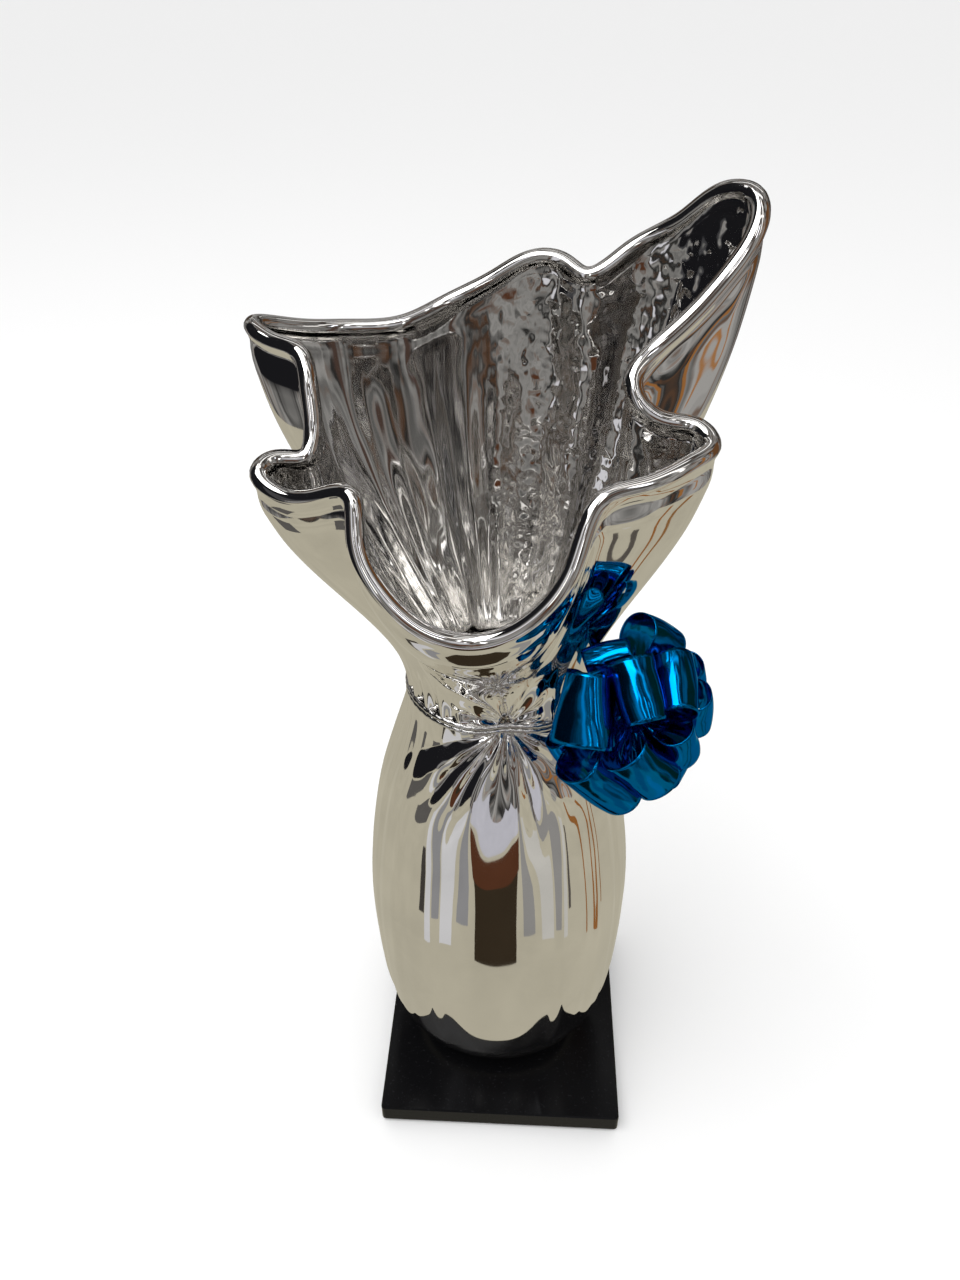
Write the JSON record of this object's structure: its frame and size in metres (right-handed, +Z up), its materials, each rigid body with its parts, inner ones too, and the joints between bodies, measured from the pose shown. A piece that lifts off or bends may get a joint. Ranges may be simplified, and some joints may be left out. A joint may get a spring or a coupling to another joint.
{
  "type": "trophy vase",
  "caption": "Silver mirror-glazed trophy vase shaped like a tied cloth sack with a ruffled open mouth, a blue ribbon bow at the waist and a flat square black base.",
  "frame": {"origin": "centre of the felt's underside, on the surface that the trophy stands on", "axes": "+Z up, -Y the front where the mouth dips lowest, +X to the right seen from the front; the bow is at the right front"},
  "size_m": [0.1347, 0.106, 0.3182],
  "materials": {
    "slab_black": "polished",
    "felt": "matt felt",
    "silver_glaze": "mirror silver plating",
    "rubber": "matt",
    "steel": "zinc plated",
    "silver_cord": "metallic thread",
    "ribbon_blue": "metallic foil",
    "binding_wire": "bright"
  },
  "bodies": {
    "root": {"base_slab": "slab_black", "base_felt": "felt", "vessel": "silver_glaze", "foot_gasket": "rubber", "inner_gasket": "rubber", "inner_washer": "steel", "clamp_nut": "steel", "clamp_screw": "steel", "waist_cord": "silver_cord", "cord_knot": "silver_cord", "bow_core": "ribbon_blue", "bow_binding": "binding_wire", "bow_loop_01": "ribbon_blue", "bow_loop_02": "ribbon_blue", "bow_loop_03": "ribbon_blue", "bow_loop_04": "ribbon_blue", "bow_loop_05": "ribbon_blue", "bow_loop_06": "ribbon_blue", "bow_loop_07": "ribbon_blue", "bow_loop_08": "ribbon_blue", "bow_loop_09": "ribbon_blue", "bow_loop_10": "ribbon_blue", "bow_loop_11": "ribbon_blue", "bow_loop_12": "ribbon_blue", "bow_loop_13": "ribbon_blue", "bow_loop_14": "ribbon_blue", "bow_loop_15": "ribbon_blue", "bow_loop_16": "ribbon_blue"}
  },
  "joints": []
}
